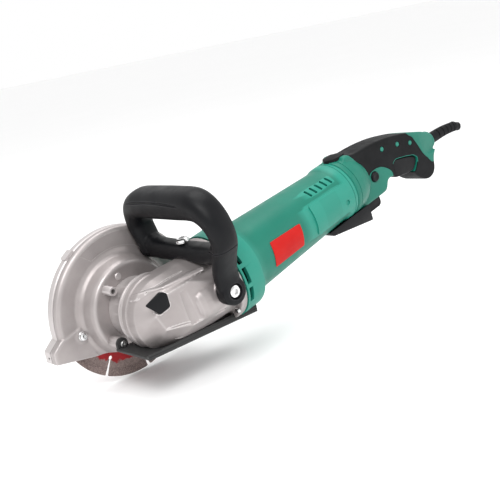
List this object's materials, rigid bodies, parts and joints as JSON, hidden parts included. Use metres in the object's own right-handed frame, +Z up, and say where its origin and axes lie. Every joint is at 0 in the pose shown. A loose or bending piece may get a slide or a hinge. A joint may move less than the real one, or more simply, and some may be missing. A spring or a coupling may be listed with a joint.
{
  "type": "wall chaser",
  "caption": "Hand-held wall chaser with a guarded diamond blade, cast gear head, front loop handle, motor, rear trigger grip and a tilting depth sole.",
  "frame": {"origin": "underside of the sole plate, straight below the spindle axis and in the plane of the motor axis", "axes": "+X towards the rear handle, +Y along the spindle towards the blade, +Z up from the sole"},
  "size_m": [0.5659, 0.171, 0.1902],
  "materials": {
    "cast_aluminium": "satin, sand cast",
    "green_nylon": "fine moulded grain",
    "black_nylon": "fine moulded grain",
    "black_steel": "satin paint",
    "soft_rubber": "soft matte",
    "red_label": "gloss film",
    "chrome_screw": "bright plated",
    "steel": "ground",
    "dark_steel": "oiled",
    "copper": "varnished windings",
    "carbon": "pressed carbon",
    "diamond_blade": "worn, with sintered segments"
  },
  "bodies": {
    "machine": {"gear_case": "cast_aluminium", "bearing_box": "cast_aluminium", "guard_inner_half": "cast_aluminium", "guard_outer_half": "cast_aluminium", "motor_housing": "green_nylon", "handle_shell_near": "green_nylon", "handle_shell_far": "green_nylon", "front_handle": "black_nylon", "air_baffle": "black_nylon", "brush_holder_near": "black_nylon", "brush_holder_far": "black_nylon", "switch_body": "black_nylon", "rear_foot": "black_nylon", "grip_rubber": "soft_rubber", "cord_boot": "soft_rubber", "bumper_block": "soft_rubber", "top_pad": "soft_rubber", "label_plate": "red_label", "guard_screw_front": "chrome_screw", "guard_screw_top": "chrome_screw", "guard_screw_rear": "chrome_screw", "handle_bolt_near": "chrome_screw", "handle_bolt_far": "chrome_screw", "handle_bolt_top": "chrome_screw", "case_screw_1": "chrome_screw", "case_screw_2": "chrome_screw", "case_screw_3": "chrome_screw", "case_screw_4": "chrome_screw", "spindle_end_bearing": "steel", "spindle_main_bearing": "steel", "front_ball_bearing": "steel", "rear_ball_bearing": "steel", "trigger_pin": "steel", "sole_pivot_pin": "steel", "depth_clamp_bolt": "steel", "stator": "dark_steel", "brush_near": "carbon", "brush_far": "carbon"},
    "spindle": {"spindle_shaft": "steel", "crown_gear": "dark_steel", "inner_flange": "steel", "blade": "diamond_blade", "outer_flange": "steel", "flange_nut": "steel"},
    "armature": {"armature_shaft": "steel", "pinion_gear": "dark_steel", "armature_core": "copper", "commutator": "copper", "cooling_fan": "black_nylon"},
    "sole": {"sole_plate": "black_steel"},
    "clamp_knob": {"depth_clamp_knob": "black_nylon"},
    "trigger": {"trigger": "black_nylon"},
    "lock_on": {"lock_on_button": "black_nylon"},
    "spindle_lock": {"spindle_lock_button": "black_nylon", "spindle_lock_pin": "steel"}
  },
  "joints": [
    {"name": "spindle_spin", "type": "hinge", "parent": "machine", "child": "spindle", "pos_m": [0, 0.04, 0.031], "axis": [0, 1, 0], "continuous": true},
    {"name": "armature_spin", "type": "hinge", "parent": "machine", "child": "armature", "pos_m": [0.11738, 0, 0.05595], "axis": [0.9781, 0, 0.2079], "continuous": true},
    {"name": "sole_tilt", "type": "hinge", "parent": "machine", "child": "sole", "pos_m": [-0.034, 0.037, 0.0066], "axis": [0, 1, 0], "range_deg": [0, 14]},
    {"name": "clamp_knob_turn", "type": "hinge", "parent": "machine", "child": "clamp_knob", "pos_m": [0.06207, 0.056, 0.01557], "axis": [0, 1, 0], "range_deg": [0, 90]},
    {"name": "trigger_squeeze", "type": "hinge", "parent": "machine", "child": "trigger", "pos_m": [0.33604, 0, 0.09016], "axis": [0, 1, 0], "range_deg": [-6, 0], "stiffness_Nm_per_rad": 1.2},
    {"name": "lock_on_press", "type": "slide", "parent": "machine", "child": "lock_on", "axis": [0, 1, 0], "range_m": [0, 0.002], "stiffness_N_per_m": 300},
    {"name": "spindle_lock_press", "type": "slide", "parent": "machine", "child": "spindle_lock", "axis": [0, 1, 0], "range_m": [0, 0.003], "stiffness_N_per_m": 400}
  ],
  "couplings": [
    {"joint": "armature_spin", "follows": "spindle_spin", "ratio": -3.3636}
  ]
}
